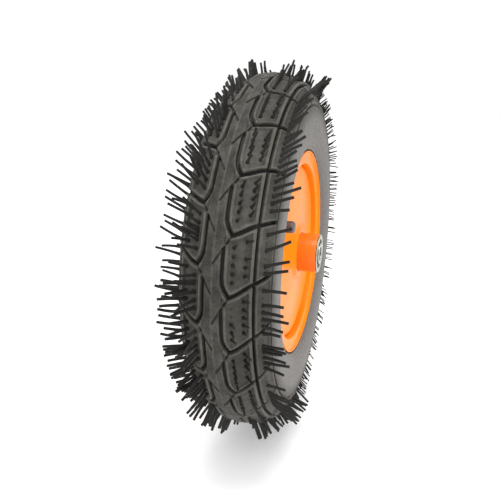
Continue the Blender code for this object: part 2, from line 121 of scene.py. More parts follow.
# Valve, as placed in the frame
VALVE_ANGLE = radians(36.0)
VALVE_RADIUS = 81.0
VALVE_BEND = 5.5
STEM_RADIUS = 4.5
STEM_FOOT = 6.3
STEM_BORE = 2.72
BARREL_HOLE = 5.7
DISC_HOLE = 8.8
THREAD_START = 27.6
THREAD_PITCH = 0.8
THREADS = 10
THREAD_ROOT = 3.45
THREAD_CREST = 3.8

# Hub and bearings
HUB_BORE = 18.5
HUB_RADIUS = 22.0
HUB_END = 54.5
BALLS = 7
BALL_RADIUS = 2.75

SHEET = 2.0  # thickness of the rim's and discs' steel

# Floor, in metres: how far it lies below the CAD's box, and half its side
FLOOR_GAP = 0.012
FLOOR_REACH = 6.0

# Values that the cover's mesh carries for its material, at each of its points
NET_VALUES = ("hatch_phase", "hatch_mask", "side_mask", "ridge_highlight_mask", "groove_shade_mask", "ring")

BLACK, HALF_WHITE = (0.0, 0.0, 0.0), (0.6, 0.6, 0.6)
SIDEWALL_LOW = (0.085, 0.080, 0.075)
SIDEWALL_HIGH = (0.21, 0.200, 0.190)
# The colour painted as shade in the grooves and in the hatching's valleys
VALLEY_SHADE = (0.009, 0.009, 0.008)
RIDGE_HIGHLIGHT = (0.145, 0.136, 0.121)  # a painted highlight: the raised lines of the tread are paler than the rest


# ---------------------------------------------------------------- materials


class Look:
    """A Principled material, with short ways of adding nodes to it."""

    def __init__(self, name, roughness, metallic=0.0, **sockets):
        self.material = bpy.data.materials.new(name)
        self.material.use_nodes = True
        self.tree = self.material.node_tree
        self.shader = self.tree.nodes["Principled BSDF"]
        self.set("Roughness", roughness)
        self.set("Metallic", metallic)
        for socket, value in sockets.items():
            self.set(socket.replace("_", " "), value)
        self.place = self.node("ShaderNodeTexCoord").outputs["Object"]
        self.normal = None

    def set(self, socket, value):
        self.shader.inputs[socket].default_value = value

    def node(self, kind, **settings):
        made = self.tree.nodes.new(kind)
        for name, value in settings.items():
            setattr(made, name, value)
        return made

    def link(self, source, target):
        self.tree.links.new(source, target)

    def noise(self, scale, detail=3.0, rough=0.55, place=None):
        made = self.node("ShaderNodeTexNoise")
        made.inputs["Scale"].default_value = scale
        made.inputs["Detail"].default_value = detail
        made.inputs["Roughness"].default_value = rough
        self.link(place or self.place, made.inputs["Vector"])
        return made.outputs["Fac"]

    def stretched(self, x, y, z):
        made = self.node("ShaderNodeMapping")
        made.inputs["Scale"].default_value = (x, y, z)
        self.link(self.place, made.inputs["Vector"])
        return made.outputs["Vector"]

    def ramp(self, value, *stops):
        """Colours at places from 0 to 1; a stop is (place, colour)."""
        made = self.node("ShaderNodeValToRGB")
        elements = made.color_ramp.elements
        while len(elements) < len(stops):
            elements.new(0.5)
        for element, (place, colour) in zip(elements, stops):
            element.position = place
            element.color = (*colour, 1.0)
        self.link(value, made.inputs["Fac"])
        return made.outputs["Color"]

    def math(self, operation, a, b=0.0):
        made = self.node("ShaderNodeMath", operation=operation)
        for socket, value in zip(made.inputs, (a, b)):
            if isinstance(value, (int, float)):
                socket.default_value = value
            else:
                self.link(value, socket)
        return made.outputs["Value"]

    def mix(self, factor, a, b):
        made = self.node("ShaderNodeMix", data_type="RGBA")
        self.link(factor, made.inputs["Factor"])
        for name, value in (("A", a), ("B", b)):
            socket = [s for s in made.inputs if s.name == name and s.type == "RGBA"][0]
            if isinstance(value, tuple):
                socket.default_value = (*value, 1.0)
            else:
                self.link(value, socket)
        return [s for s in made.outputs if s.type == "RGBA"][0]

    def colour(self, output):
        self.link(output, self.shader.inputs["Base Color"])

    def roughness(self, value, low, high):
        made = self.node("ShaderNodeMapRange")
        made.inputs["To Min"].default_value = low
        made.inputs["To Max"].default_value = high
        self.link(value, made.inputs["Value"])
        self.link(made.outputs["Result"], self.shader.inputs["Roughness"])

    def bump(self, height, strength, depth_mm):
        made = self.node("ShaderNodeBump")
        made.inputs["Strength"].default_value = strength
        made.inputs["Distance"].default_value = depth_mm * MM
        self.link(height, made.inputs["Height"])
        if self.normal:
            self.link(self.normal, made.inputs["Normal"])
        self.normal = made.outputs["Normal"]
        self.link(self.normal, self.shader.inputs["Normal"])


def make_tyre_rubber(name, low, high, gloss=0.16, moulded=False):
    """Moulded rubber: fine grain and a cloudy bloom.

    The cover has hatching beside the seam with painted shade in its valleys, raised ridges paled as a painted
    highlight, grooves darkened as painted shade, and a paler, streaked sidewall as well.
    """
    look = Look(name, 0.6, Specular_IOR_Level=gloss)
    cloud = look.noise(26.0, 5.0, 0.6)
    fine = look.noise(420.0, 4.0, 0.6)
    patches = look.ramp(cloud, (0.3, low), (0.7, high))
    base = look.mix(look.math("MULTIPLY", fine, 0.5), patches, high)
    scuff = look.noise(150.0, 5.0, 0.75)
    base = look.mix(look.ramp(scuff, (0.40, BLACK), (0.62, HALF_WHITE)), base, low)
    look.roughness(cloud, 0.44, 0.62)
    look.bump(fine, 0.30, 0.25)
    if moulded:
        phase, hatched, side, ridge, sunk, ring = (
            look.node("ShaderNodeAttribute", attribute_name=label).outputs["Fac"] for label in NET_VALUES
        )
        rings = look.node("ShaderNodeCombineXYZ")
        look.link(ring, rings.inputs["X"])
        streaks = look.noise(0.55, 5.0, 0.7, rings.outputs["Vector"])
        streaked = look.math("MULTIPLY", streaks, 0.55)
        speckled = look.math("MULTIPLY", look.noise(310.0, 5.0, 0.7), 0.45)
        cloudy = look.math("ADD", streaked, speckled)
        base = look.mix(side, base, look.ramp(cloudy, (0.36, SIDEWALL_LOW), (0.64, SIDEWALL_HIGH)))
        # Painted highlight: the raised borders, kerbs and bars are paled towards the ridge colour.
        base = look.mix(look.math("MULTIPLY", ridge, 0.6), base, RIDGE_HIGHLIGHT)
        # Painted shade: the grooves and other sunk places darken with their depth.
        base = look.mix(look.math("MULTIPLY", sunk, 0.85), base, VALLEY_SHADE)
        wave = look.math("MULTIPLY", look.math("SINE", phase), hatched)
        # Painted shade in the hatching's valleys, where its bump lies lowest.
        base = look.mix(look.math("MULTIPLY", look.math("MAXIMUM", wave, 0.0), 0.8), base, VALLEY_SHADE)
        look.bump(look.math("MULTIPLY", wave, -1.0), 0.9, 0.4)
    look.colour(base)
    return look.material


def make_tube_rubber():
    """Smooth rubber, as on the inner tube and the valve's stem."""
    look = Look("tube_rubber", 0.5, Specular_IOR_Level=0.4)
    look.colour(look.ramp(look.noise(60.0), (0.3, (0.014, 0.014, 0.015)), (0.8, (0.03, 0.03, 0.031))))
    look.bump(look.noise(900.0), 0.2, 0.1)
    return look.material


def make_orange_paint(name, low, high, gloss, coat):
    """Gloss enamel on pressed steel: soft orange peel, slight shade changes, and a clear top."""
    look = Look(name, 0.24, Specular_IOR_Level=gloss, Coat_Weight=coat, Coat_Roughness=0.12)
    cloud = look.noise(14.0, 4.0, 0.5)
    look.colour(look.ramp(cloud, (0.25, low), (0.75, high)))
    look.roughness(look.noise(55.0, 5.0), 0.18, 0.34)
    look.bump(look.noise(230.0, 2.0), 0.10, 0.3)
    return look.material


def make_turned_metal(name, low, high, roughness, grain=0.08):
    """Turned or ground metal, with its fine rings about the axle."""
    look = Look(name, roughness, 1.0)
    rings = look.noise(1.0, 3.0, 0.7, look.stretched(260.0, 2400.0, 260.0))
    look.colour(look.ramp(rings, (0.3, low), (0.7, high)))
    look.roughness(look.noise(120.0, 4.0), roughness * 0.8, roughness * 1.3)
    look.bump(rings, grain, 0.05)
    return look.material


def make_zinc():
    """Zinc plating: a spangle of pale grey-greens, duller where it has been handled."""
    look = Look("zinc_plate", 0.4, 0.8)
    cells = look.node("ShaderNodeTexVoronoi")
    cells.inputs["Scale"].default_value = 420.0
    look.link(look.place, cells.inputs["Vector"])
    spangle = look.ramp(cells.outputs["Distance"], (0.0, (0.30, 0.31, 0.25)), (1.0, (0.45, 0.46, 0.39)))
    dull = look.noise(90.0, 4.0)
    look.colour(look.mix(look.math("MULTIPLY", dull, 0.5), spangle, (0.26, 0.27, 0.22)))
    look.roughness(dull, 0.28, 0.52)
    look.bump(look.noise(700.0), 0.12, 0.08)
    return look.material


def make_plastic(name, low, high, roughness):
    """Moulded plastic with a slight, fine grain."""
    look = Look(name, roughness)
    look.colour(look.ramp(look.noise(180.0, 4.0), (0.3, low), (0.7, high)))
    look.roughness(look.noise(300.0), roughness * 0.85, roughness * 1.15)
    look.bump(look.noise(1500.0, 2.0), 0.15, 0.06)
    return look.material


MATERIALS = {
    "tread_rubber": make_tyre_rubber(
        "tread_rubber", (0.024, 0.023, 0.019), (0.105, 0.098, 0.084), moulded=True
    ),
    "hair_rubber": make_tyre_rubber("hair_rubber", (0.009, 0.009, 0.008), (0.026, 0.025, 0.023), 0.13),
    "lining_rubber": make_tyre_rubber("lining_rubber", (0.022, 0.021, 0.020), (0.040, 0.039, 0.037)),
    "tube_rubber": make_tube_rubber(),
    "bead_steel": make_turned_metal("bead_steel", (0.42, 0.32, 0.18), (0.60, 0.47, 0.27), 0.38),
    # The rim's and the tube's paints are one enamel in two copies: this paler, yellower one on the barrel and
    # discs is painted light.
    "orange_paint": make_orange_paint(
        "orange_paint", (0.90, 0.215, 0.005), (0.96, 0.285, 0.009), 0.045, 0.02
    ),
    # The tube's copy of the same enamel, deeper and redder, is painted shade.
    "tube_paint_shaded": make_orange_paint("tube_paint_shaded", (0.86, 0.15, 0.006), (0.92, 0.20, 0.012), 0.22, 0.3),
    "zinc_plate": make_zinc(),
    "bearing_steel": make_turned_metal("bearing_steel", (0.26, 0.265, 0.235), (0.37, 0.375, 0.34), 0.26),
    "cage_nylon": make_plastic("cage_nylon", (0.50, 0.46, 0.36), (0.62, 0.58, 0.47), 0.5),
    "brass": make_turned_metal("brass", (0.66, 0.46, 0.19), (0.80, 0.60, 0.28), 0.3),
    "cap_plastic": make_plastic("cap_plastic", (0.075, 0.065, 0.062), (0.13, 0.115, 0.11), 0.42),
}


# ---------------------------------------------------------------- pieces


def piece(name, mesh, material_name, body, *nodes, sharp=35.0):
    """Shows a finished mesh in place of the CAD nodes, riding on the body."""
    mesh.materials.clear()
    mesh.materials.append(MATERIALS[material_name])
    mesh.shade_smooth()
    mesh.set_sharp_from_angle(angle=radians(sharp))
    made = bpy.data.objects.new(name, mesh)
    bpy.context.scene.collection.objects.link(made)
    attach(made, body)
    if nodes:
        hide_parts(*nodes)
    return made


def polar(radial, axial, angle):
    """A point from its radius, its place along the axle and its angle from +X towards +Z, in metres."""
    return Vector((radial * cos(angle), axial, radial * sin(angle))) * MM


def rounded(outline, radius, steps=4):
    """The closed outline with each corner rounded by up to that radius."""
    points = []
    count = len(outline)
    for i, corner in enumerate(outline):
        corner = Vector(corner)
        before = Vector(outline[i - 1]) - corner
        after = Vector(outline[(i + 1) % count]) - corner
        reach = min(radius, before.length * 0.45, after.length * 0.45)
        start, end = corner + before.normalized() * reach, corner + after.normalized() * reach
        for k in range(steps + 1):
            t = k / steps
            points.append(tuple(start.lerp(corner, t).lerp(corner.lerp(end, t), t)))
    return points


def mirrored(outline, sign):
    """The outline as it is on that side of the wheel."""
    return [(axial * sign, radial) for axial, radial in outline]


def circle(count):
    """The angles of that many equal steps round a circle."""
    return [k * 2 * pi / count for k in range(count)]


def strip(bm, first, second, closed=True):
    """Faces between two rows of points; the last point of a closed row meets its first."""
    count = len(first)
    for k in range(count if closed else count - 1):
        n = (k + 1) % count
        bm.faces.new((first[k], first[n], second[n], second[k]))


def strips_round(bm, rings, closed=True):
    """Faces between each ring and the next, all the way round."""
    for i, ring in enumerate(rings):
        strip(bm, ring, rings[(i + 1) % len(rings)], closed)


def as_mesh(bm, name, recalculate=False):
    """The finished mesh of that name, with its faces turned outward if asked."""
    if recalculate:
        bmesh.ops.recalc_face_normals(bm, faces=bm.faces)
    mesh = bpy.data.meshes.new(name)
    bm.to_mesh(mesh)
    bm.free()
    return mesh


def turned_mesh(name, outline, facets, centre=(0.0, 0.0, 0.0)):
    """The closed outline turned about the Y direction through centre, in metres."""
    bm = bmesh.new()
    rings = []
    for turn in circle(facets):
        rings.append([bm.verts.new(Vector(centre) + polar(r, a, turn)) for a, r in outline])
    strips_round(bm, rings)
    return as_mesh(bm, name, recalculate=True)


def offset(path, distance):
    """The path moved sideways by distance, to the left of its direction."""
    moved = []
    for i, (axial, radial) in enumerate(path):
        normals = []
        for a, b in ((i - 1, i), (i, i + 1)):
            if 0 <= a and b < len(path):
                step = Vector(path[b]) - Vector(path[a])
                normals.append(Vector((-step.y, step.x)).normalized())
        normal = (normals[0] + normals[-1]).normalized()
        reach = distance / max(0.5, normal.dot(normals[0]))
        moved.append((axial + normal.x * reach, radial + normal.y * reach))
    return moved


def plate(path, thickness):
    """The closed outline of a sheet that follows the path."""
    return path + offset(path, thickness)[::-1]


# ---------------------------------------------------------------- tyre


def smooth(value):
    """Eases from 0 to 1 as the value goes from 0 to 1."""
    value = np.clip(value, 0.0, 1.0)
    return value * value * (3 - 2 * value)


def within(distance, reach, slope):
    """1 near a line, easing to 0 at that reach from it."""
    return smooth((reach - distance) / slope)


def beyond(distance, start, slope):
    """0 up to the start, easing to 1 past it."""
    return smooth((distance - start) / slope)


def crest(distance, middle, width):
    """1 at the middle, easing to 0 on both sides."""
    return smooth(1 - np.abs(distance - middle) / width)


def crown(distance):
    """(axial, radial) of the tread surface at that distance across from the seam."""
    if distance <= CROWN_END:
        turn = distance / CROWN_ARC
        return CROWN_ARC * sin(turn), TYRE_RADIUS - CROWN_ARC * (1 - cos(turn))
    turn = CROWN_END / CROWN_ARC
    start = Vector(crown(CROWN_END))
    widest = Vector((HALF_WIDTH, WIDEST_RADIUS))
    crown_pull, wall_pull = 9.0, 15.0
    along = Vector((cos(turn), -sin(turn)))
    points = [start, start + along * crown_pull, widest + Vector((0, wall_pull)), widest]
    t = min(1.0, (distance - CROWN_END) / (TREAD_END - CROWN_END))
    while len(points) > 1:
        points = [a.lerp(b, t) for a, b in zip(points, points[1:])]
    return tuple(points[0])


def outward(distance):
    """The direction out of the tread surface there, as (axial, radial)."""
    along = (Vector(crown(distance + 0.5)) - Vector(crown(distance - 0.5))).normalized()
    return Vector((-along.y, along.x))


def lead(distance):
    """How far round the tyre the cross groove and the sipe have run, from the block's corner."""
    places = (0.0, VERTEX, 33.0, EDGE_LINE, TREAD_END)
    return np.interp(distance, places, (-24.0, 0.0, 10.4, EDGE_LEAD, EDGE_LEAD))


def near_line(across, around, points):
    """Distance of each place from a line of straight stretches, in millimetres."""
    best = np.full(np.broadcast(across, around).shape, 1e3)
    for (a, b), (c, d) in zip(points, points[1:]):
        length = (c - a) ** 2 + (d - b) ** 2
        t = np.clip(((across - a) * (c - a) + (around - b) * (d - b)) / length, 0.0, 1.0)
        best = np.minimum(best, np.hypot(across - a - t * (c - a), around - b - t * (d - b)))
    return best


# Lines of the pattern, from the block's corner, as (distance from the seam, distance round)
CROSS_GROOVE = [(VERTEX, 0.0), (20.0, 2.6), (33.0, 10.4), (EDGE_LINE, EDGE_LEAD)]
BLOCK_OUTLINE = [(VERTEX, 0.0), (10.8, 5.2), (8.8, 10.2), (OUTLINE, 15.5), (OUTLINE, 40.0)]
SIPE = [(VERTEX, 0.0), (0.6, -23.0)]


def tread_shape(across, around):
    """Height over the plain crown, and how hatched, ridged and sunk the rubber is, for arrays of places."""
    local = np.mod(around, PITCH)
    height = np.zeros(local.shape)
    cross = np.full(local.shape, 1e3)
    sipe = cross.copy()
    edge = cross.copy()
    for turn in (-PITCH, 0.0, PITCH):
        at = local - turn
        cross = np.minimum(cross, near_line(across, at, CROSS_GROOVE))
        sipe = np.minimum(sipe, near_line(across, at, SIPE))
        edge = np.minimum(edge, near_line(across, at, BLOCK_OUTLINE))
    line = np.abs(across - GROOVE_LINE)
    rim = np.minimum(np.minimum(cross, edge), line)
    inside = (across > OUTLINE) & (across < GROOVE_LINE)
    shoulder = (across > GROOVE_LINE) & (across < EDGE_LINE)

    height -= GROOVE_DEPTH * within(cross, 2.0, 0.9) * (across < EDGE_LINE + 0.4)
    height = np.minimum(height, -GROOVE_DEPTH * within(edge, 1.8, 0.8))
    height = np.minimum(height, -SIPE_DEPTH * within(sipe, 1.2, 0.7))
    height = np.minimum(height, -GROOVE_DEPTH * within(line, 1.5, 0.8))
    height = np.minimum(height, -EDGE_DEPTH * within(np.abs(across - EDGE_LINE), 1.1, 0.6))

    # The raised double border of a block, its sunk panel, and the bar beside the groove line.
    border = crest(rim, 3.2, 0.9)
    panel = -PANEL_DEPTH * beyond(rim, 4.2, 0.8)
    bar = smooth((across - GROOVE_LINE + 5.2) / 0.7) * smooth((GROOVE_LINE - 1.5 - across) / 0.5)
    height += inside * ((0.9 * border + panel) * (1 - bar) + 0.8 * bar * beyond(cross, 2.6, 0.8))
    brim = np.minimum(np.minimum(cross, line), np.abs(across - EDGE_LINE))
    kerb = crest(brim, 2.9, 0.9)
    height += shoulder * (0.5 * kerb - 0.5 * beyond(brim, 3.9, 0.8))
    # This mask marks the raised lines that the material pales as a painted highlight.
    ridge = inside * np.maximum(border * (1 - bar), 0.5 * bar) + shoulder * 0.7 * kerb

    # A sunk vent with a slight collar at the foot of each hair.
    for column in HAIR_COLUMNS:
        root = np.mod(around - float(lead(column)), PITCH)
        for k in range(HAIRS_PER_PITCH):
            away = np.hypot(across - column, root - HAIR_FIRST - k * HAIR_SPACING)
            height += -VENT_DEPTH * within(away, 1.7, 0.9) + 0.25 * crest(away, 2.3, 0.8)

    # The seam, and the hatching between it and the blocks.
    height += 0.35 * within(across, 0.7, 0.4)
    ahead = near_line(across, local - PITCH, SIPE)
    hatch = (across < OUTLINE + 1.0) * beyond(across, 0.8, 0.5) * beyond(edge, 2.2, 0.8)
    hatch = hatch * beyond(sipe, 1.2, 0.8) * (0.35 + 0.65 * smooth(ahead / 14.0))
    # The last value, the depth below the crown, masks the painted shade in the grooves.
    return height, hatch, ridge, np.clip(-height / GROOVE_DEPTH, 0.0, 1.0)


# From the widest place inward to the rim's flange
SIDEWALL = [(43.45, 141.0), (43.1, 136.0), (42.4, 131.0), (41.5, 127.0), (40.6, 124.0), (39.6, 121.0),
            (38.0, 118.2), (36.6, 116.6)]


def spread(*stretches):
    """Rising places made of stretches, each (start, end, step), with the last end added."""
    places = []
    for start, end, step in stretches:
        count = max(1, round((end - start) / step))
        places += [start + (end - start) * k / count for k in range(count)]
    return places + [stretches[-1][1]]


def block_start(sign):
    """The angle of the first block's corner; the left half is half a pitch behind the right one."""
    return VERTEX_TURN if sign > 0 else VERTEX_TURN + pi / PITCHES


def make_tyre_half(side, sign):
    """One half of the cover's outside, from the seam to the rim, on a net that follows its cross grooves."""
    rows = spread(
        (0.0, 1.4, 0.45), (1.4, 6.0, 1.15), (6.0, 10.4, 0.55), (10.4, GROOVE_LINE - 2.0, 0.8),
        (GROOVE_LINE - 2.0, GROOVE_LINE + 2.0, 0.5), (GROOVE_LINE + 2.0, EDGE_LINE - 1.7, 1.15),
        (EDGE_LINE - 1.7, EDGE_LINE + 1.7, 0.5), (EDGE_LINE + 1.7, TREAD_END, 2.4),
    )
    half = spread((0.0, 3.0, 0.6), (3.0, PITCH / 2, 1.35))
    columns = half[:-1] + [PITCH - place for place in half[:0:-1]]
    around = np.array([pitch * PITCH + place for pitch in range(PITCHES) for place in columns])
    around = np.append(around, around[0] + PITCH * PITCHES)
    start = block_start(sign) + pi  # the net's joint is at the back
    points, values = [], []
    for distance in rows:
        place = around + float(lead(distance))
        height, hatch, ridge, sunk = tread_shape(np.full(place.shape, distance), place)
        axial, radial = crown(distance)
        normal = outward(distance)
        if distance > EDGE_LINE + 2.0:
            height = np.full(place.shape, SIDEWALL_RIPPLE * sin(distance * 2.6))
        radii = radial + normal.y * height
        turn = start + place / TYRE_RADIUS
        axials = sign * (axial + normal.x * height)
        points.append(np.stack([radii * np.cos(turn), axials, radii * np.sin(turn)], 1))
        side_mask = np.full(turn.shape, float(smooth((distance - EDGE_LINE) / SIDEWALL_FADE)))
        phase = turn * HATCH_ROUND - sign * distance * HATCH_SLANT
        values.append((phase, hatch, side_mask, ridge, sunk, np.full(turn.shape, distance)))
    turn = start + (around + float(lead(TREAD_END))) / TYRE_RADIUS
    for i, (axial, radial) in enumerate(SIDEWALL):
        rib = 0.25 if i in (2, 4) else 0.0
        radii = radial + rib
        axials = np.full(turn.shape, sign * (axial + rib))
        points.append(np.stack([radii * np.cos(turn), axials, radii * np.sin(turn)], 1))
        none = np.zeros(turn.shape)
        values.append((none, none, none + 1.0, none, none, none + TREAD_END + WIDEST_RADIUS - radial))
    return net_mesh(f"tyre_{side}", points, sign, values)


def net_mesh(name, points, sign, values):
    """The mesh of a net of points, with the values at each point that its material reads."""
    count, width = len(points), len(points[0])
    mesh = bpy.data.meshes.new(name)
    index = np.arange(count * width).reshape(count, width)
    corners = [index[:-1, :-1], index[:-1, 1:], index[1:, 1:], index[1:, :-1]]
    faces = np.stack([c.ravel() for c in (corners if sign < 0 else corners[::-1])], 1)
    mesh.from_pydata((np.concatenate(points) * MM).tolist(), [], faces.tolist())
    for label, rows in zip(NET_VALUES, zip(*values)):
        layer = mesh.attributes.new(label, "FLOAT", "POINT")
        layer.data.foreach_set("value", np.concatenate(rows).astype(np.float32))
    mesh.update()
    return mesh


def make_lining():
    """The beads, which sit in the rim, and the inside of the cover."""
    bead = [(36.6, 116.6), (33.4, 114.2), (31.4, 110.6), (31.4, 102.4), (17.0, 102.2), (18.5, 106.0),
            (26.6, 114.0), (36.4, 128.0), (38.6, 145.0), (35.0, 163.0), (20.6, 179.5)]
    path = bead + [(0.0, 185.0)] + mirrored(bead, -1)[::-1]
    bm = bmesh.new()
    rings = [[bm.verts.new(polar(r, a, turn)) for a, r in path] for turn in circle(96)]
    strips_round(bm, rings, closed=False)
    return as_mesh(bm, "tyre_lining")


# ---------------------------------------------------------------- mould hairs


class Hairs:
    """A mesh of many bent, slightly tapered rubber hairs."""

    SIDES = 6
    STEPS = 5

    def __init__(self, seed):
        self.random = np.random.default_rng(seed)
        self.bm = bmesh.new()

    def grow(self, root, direction, length, radius, bend):
        """One hair from its root, leaning over by the vector bend at its tip; all in millimetres."""
        rings = []
        before = root - direction
        for i in range(self.STEPS + 1):
            t = i / self.STEPS
            centre = root + direction * (length * t) + bend * (t * t)
            along = (centre - before).normalized()
            before = centre
            across = along.orthogonal().normalized()
            other = along.cross(across)
            thick = radius * (1.0 + 0.3 * max(0.0, 1 - t * 4) - 0.14 * t)
            ring = []
            for turn in circle(self.SIDES):
                rim = centre + (across * cos(turn) + other * sin(turn)) * thick
                ring.append(self.bm.verts.new(rim * MM))
            rings.append(ring)
        for first, second in zip(rings, rings[1:]):
            shift = min(range(self.SIDES), key=lambda s: (second[s].co - first[0].co).length)
            strip(self.bm, first, second[shift:] + second[:shift])
        self.bm.faces.new(rings[0][::-1])
        self.bm.faces.new(rings[-1])

    def mesh(self, name):
        """All the hairs grown so far, as one mesh."""
        return as_mesh(self.bm, name, recalculate=True)


def surface(distance, sign, turn):
    """Root, outward direction, and the directions across and round the tyre, at a place on the tread."""
    axial, radial = crown(distance)
    normal = outward(distance)
    ray = Vector((cos(turn), 0, sin(turn)))
    axle = Vector((0, sign, 0))
    out = ray * normal.y + axle * normal.x
    over = axle * normal.y - ray * normal.x
    return ray * radial + axle * axial, out, over, Vector((-sin(turn), 0, cos(turn)))


def grow_column(hairs, sign, column, growth, leans, skipped, extra):
    """The hairs of one column of vents, all round the tyre; neighbours tend to lean together in clumps.

    At each end a block has so many extra hairs beyond its vents, and a share of all hairs is skipped.
    """
    front_lean, far_lean = leans
    for pitch in range(PITCHES):
        clump = hairs.random.normal(0.0, HAIR_CLUMP)
        start = block_start(sign) + (pitch * PITCH + float(lead(column)) + HAIR_FIRST) / TYRE_RADIUS
        for k in range(-extra, HAIRS_PER_PITCH + extra):
            if hairs.random.random() < skipped:
                continue
            turn = start + k * HAIR_SPACING / TYRE_RADIUS
            low, high, radius, doubled = growth(turn)
            lean = far_lean + (front_lean - far_lean) * abs(cos(turn - HAIR_FRONT)) ** 1.5
            for number in range(2 if hairs.random.random() < doubled else 1):
                beside = number * hairs.random.uniform(1.6, 3.6) / TYRE_RADIUS
                root, out, over, round_ = surface(column, sign, turn + beside)
                tilt = hairs.random.normal(lean, HAIR_SCATTER)
                sway = hairs.random.normal(clump + sweep(turn), HAIR_SCATTER)
                direction = (out + over * tilt + round_ * sway).normalized()
                length = hairs.random.uniform(low, high)
                droop = over * hairs.random.normal(0.0, HAIR_CURL)
                curl = round_ * hairs.random.normal(0.0, HAIR_CURL)
                hairs.grow(root - out * HAIR_SINK, direction, length, radius, (droop + curl) * length)


def sweep(turn):
    """How far hairs are combed round the tyre: to its top on the upper part, and its foot on the lower."""
    height = sin(turn)
    at_top = float(smooth((height - 0.4) / 0.45))
    at_foot = float(smooth((-height - 0.35) / 0.4))
    combed = 0.4 * height + 0.5 * at_top - 0.4 * at_foot
    return 0.1 + combed * float(np.clip(3.0 * cos(turn), -1.0, 1.0))


# How hairs have grown at a turn round the tyre: the shortest, the longest, their radius, and the share with a
# second hair beside them.
def tread_growth(turn):
    """On the right blocks they are shorter along the stretch that faces forward."""
    if cos(turn - HAIR_FRONT) > 0.55:
        return 6.0, 10.0, 1.2, 0.0
    return (18.0, 25.0, 1.5, 0.15) if sin(turn) < -0.5 else (12.0, 18.0, 1.15, 0.05)


def left_growth(turn):
    """On the left they grow thinner on the upper part, and shorter at the very top."""
    if sin(turn) > 0.75:
        return 12.0, 18.5, 1.25, 0.08
    return (16.0, 23.0, 1.25, 0.08) if sin(turn) > 0.15 else (17.5, 24.5, 1.55, 0.15)


def shoulder_growth(turn):
    """On the right shoulder they are longest at the top and bottom, and fine and close at the back."""
    facing = cos(turn - HAIR_FRONT)
    if facing < -0.1:
        return 10.0, 15.0, 0.8, 0.8
    return (16.0, 24.0, 1.45, 0.10) if facing > 0.5 else (20.0, 27.0, 1.35, 0.15)


def make_hairs():
    """The four sets of hairs, each from its CAD node's columns of vents."""
    inner, middle, outer = HAIR_COLUMNS
    plan = {
        "tread_hairs_right": (1, (inner, middle), tread_growth, (0.25, -0.05), 0.08, 0),
        "tread_hairs_left": (-1, (inner, middle), left_growth, (0.05, -0.10), 0.06, 0),
        "shoulder_hairs_right": (1, (outer,), shoulder_growth, (0.55, -0.30), 0.15, 1),
        "shoulder_hairs_left": (-1, (outer,), left_growth, (0.25, -0.35), 0.05, 1),
    }
    for seed, (node, (sign, columns, *habit)) in enumerate(plan.items()):
        hairs = Hairs(seed + FIRST_SEED)
        for column in columns:
            grow_column(hairs, sign, column, *habit)
        piece(node.replace("hairs", "hair_set"), hairs.mesh(node), "hair_rubber", "wheel", node, sharp=50.0)


# ---------------------------------------------------------------- rim, discs, hub


RIM_HALF = [(36.5, 114.8), (33.0, 113.8), (31.8, 110.5), (31.8, 102.0), (16.0, 101.2), (8.6, 90.5)]
DISC_PATH = [(19.5, 98.4), (27.0, 98.4), (28.6, 94.0), (31.2, 32.5), (34.2, 27.0), (34.2, 22.35)]


def with_hole(mesh, name, start, end, radius):
    """The mesh with a round hole through it from start to end."""
    along = end - start
    wide = radius * MM
    bm = bmesh.new()
    bmesh.ops.create_cone(bm, cap_ends=True, segments=48, radius1=wide, radius2=wide, depth=along.length)
    turn = along.to_track_quat("Z", "X").to_matrix().to_4x4()
    bm.transform(Matrix.Translation((start + end) / 2) @ turn)
    scene = bpy.context.scene.collection.objects
    body = bpy.data.objects.new(name + "_blank", mesh)
    tool = bpy.data.objects.new(name + "_tool", as_mesh(bm, name + "_hole"))
    scene.link(body)
    scene.link(tool)
    modifier = body.modifiers.new("hole", "BOOLEAN")
    modifier.object = tool
    modifier.operation = "DIFFERENCE"
    modifier.solver = "EXACT"
    graph = bpy.context.evaluated_depsgraph_get()
    made = bpy.data.meshes.new_from_object(body.evaluated_get(graph))
    bpy.data.objects.remove(body)
    bpy.data.objects.remove(tool)
    return made


def make_rim():
    """The barrel with its flanges, the two discs and the hub tube, with holes for the valve."""
    path = RIM_HALF + mirrored(RIM_HALF, -1)[::-1]
    barrel = turned_mesh("rim_barrel_mesh", rounded(plate(path, SHEET), 2.2), 192)
    barrel = with_hole(barrel, "barrel", polar(80, 0, VALVE_ANGLE), polar(100, 0, VALVE_ANGLE), BARREL_HOLE)
    piece("rim_barrel_shown", barrel, "orange_paint", "wheel", "rim_barrel")
    for side, sign in SIDES:
        outline = rounded(mirrored(plate(DISC_PATH, -SHEET), sign), 3.0)
        disc = turned_mesh(f"disc_{side}_mesh", outline, 192)
        if sign > 0:
            hole = polar(VALVE_RADIUS, 22, VALVE_ANGLE), polar(VALVE_RADIUS, 42, VALVE_ANGLE)
            disc = with_hole(disc, "disc", *hole, DISC_HOLE)
        piece(f"disc_{side}_shown", disc, "orange_paint", "wheel", f"disc_{side}")
    tube = [(-HUB_END, HUB_BORE), (HUB_END, HUB_BORE), (HUB_END, HUB_RADIUS), (-HUB_END, HUB_RADIUS)]
    mesh = turned_mesh("hub_tube_mesh", rounded(tube, 0.7), 128)
    # The tube wears the darker copy of the rim's enamel, as painted shade.
    piece("hub_tube_shown", mesh, "tube_paint_shaded", "wheel", "hub_tube")


